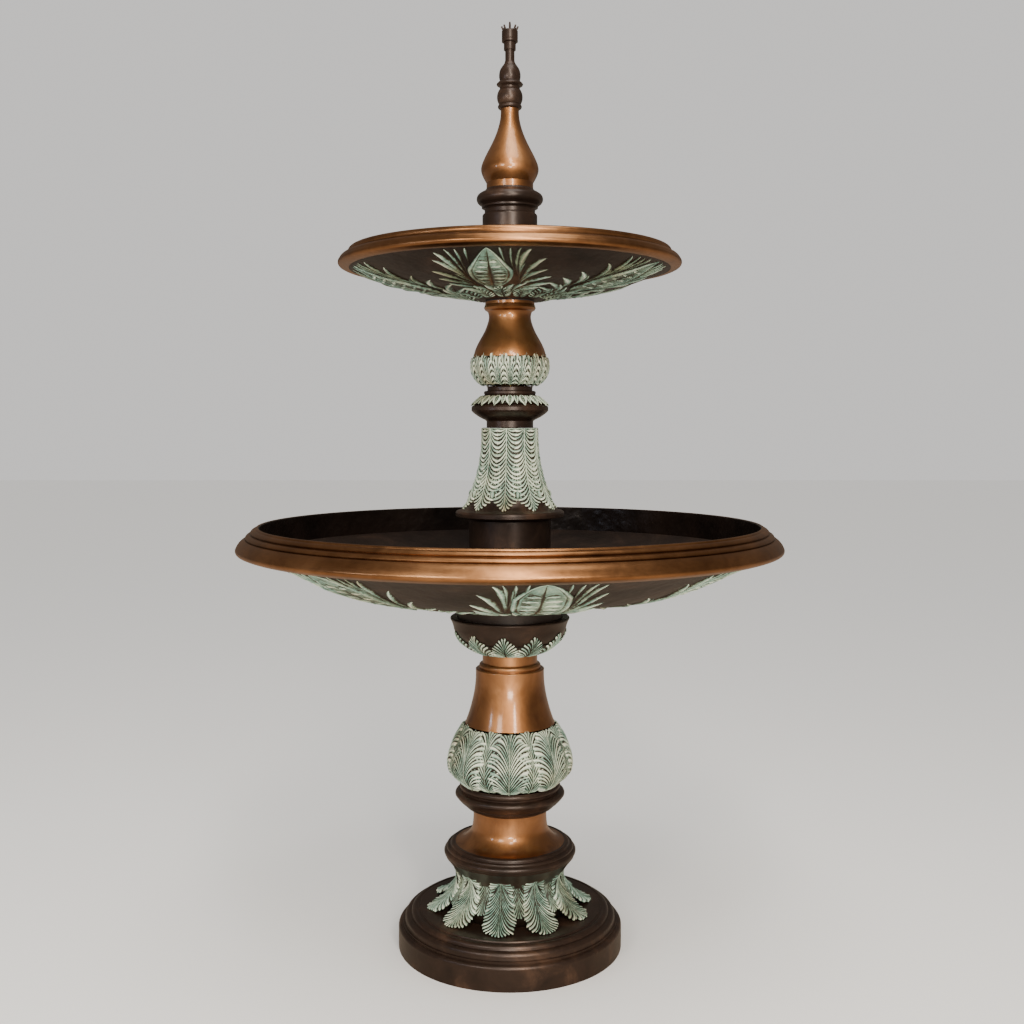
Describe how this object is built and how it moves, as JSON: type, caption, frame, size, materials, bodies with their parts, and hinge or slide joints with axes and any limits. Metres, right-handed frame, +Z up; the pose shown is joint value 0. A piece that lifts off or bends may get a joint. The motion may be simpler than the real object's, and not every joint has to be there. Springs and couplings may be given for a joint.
{
  "type": "tiered water fountain",
  "caption": "Tiered cast bronze garden fountain: stepped plinth and leafed pedestal, broad bowl, leafed column, upper bowl and pear finial with a turning jet crown.",
  "frame": {"origin": "centre of the plinth's foot, on the ground", "axes": "+Z up along the supply pipe; -Y is the side a visitor first sees"},
  "size_m": [1.5362, 1.5362, 2.626],
  "materials": {
    "dark_bronze": "dark brown patina, waxed",
    "polished_bronze": "hand polished, waxed",
    "copper_rim": "satin, copper toned",
    "verdigris_bronze": "verdigris over brown, matt",
    "bowl_bronze": "dark brown patina",
    "pipe_brass": "plain drawn and turned",
    "rubber": "matt black"
  },
  "bodies": {
    "fountain": {"base_plinth": "dark_bronze", "base_leaf_skirt": "verdigris_bronze", "base_torus_ring": "dark_bronze", "lower_drum": "polished_bronze", "pedestal_double_ring": "dark_bronze", "pedestal_leaf_bulb": "verdigris_bronze", "pedestal_bell": "polished_bronze", "pedestal_neck_ring": "polished_bronze", "support_cup": "dark_bronze", "support_cup_leaves": "verdigris_bronze", "support_cup_gasket": "rubber", "lower_bowl": "bowl_bronze", "lower_bowl_rim": "copper_rim", "lower_bowl_palmettes": "verdigris_bronze", "lower_bowl_seal": "rubber", "lower_bowl_washer": "pipe_brass", "lower_bowl_lock_nut": "pipe_brass", "water_collar": "dark_bronze", "column_flange": "dark_bronze", "column_leaf_shell": "verdigris_bronze", "waist_ring": "dark_bronze", "waist_leaf_collar": "verdigris_bronze", "vase_foot_rings": "dark_bronze", "vase_leaf_bulb": "verdigris_bronze", "vase_neck": "polished_bronze", "upper_bowl_gasket": "rubber", "upper_bowl": "bowl_bronze", "upper_bowl_rim": "copper_rim", "upper_bowl_palmettes": "verdigris_bronze", "upper_bowl_seal": "rubber", "upper_bowl_washer": "pipe_brass", "upper_bowl_lock_nut": "pipe_brass", "top_collar": "dark_bronze", "finial_base_ring": "dark_bronze", "finial_pear": "polished_bronze", "finial_ring": "dark_bronze", "finial_knob": "dark_bronze", "finial_disc": "dark_bronze", "finial_bulb": "dark_bronze", "finial_clamp": "dark_bronze", "supply_pipe_lower": "pipe_brass", "supply_pipe_upper": "pipe_brass", "pipe_coupling": "pipe_brass", "pipe_reducer": "pipe_brass", "riser_pipe": "pipe_brass", "base_washer": "pipe_brass", "base_lock_nut": "pipe_brass"},
    "jet_crown": {"crown_head": "dark_bronze", "crown_jets": "dark_bronze", "centre_jet": "dark_bronze", "crown_seal": "rubber"}
  },
  "joints": [
    {"name": "crown_turn", "type": "hinge", "parent": "fountain", "child": "jet_crown", "pos_m": [0, 0, 2.58], "axis": [0, 0, 1], "continuous": true}
  ]
}
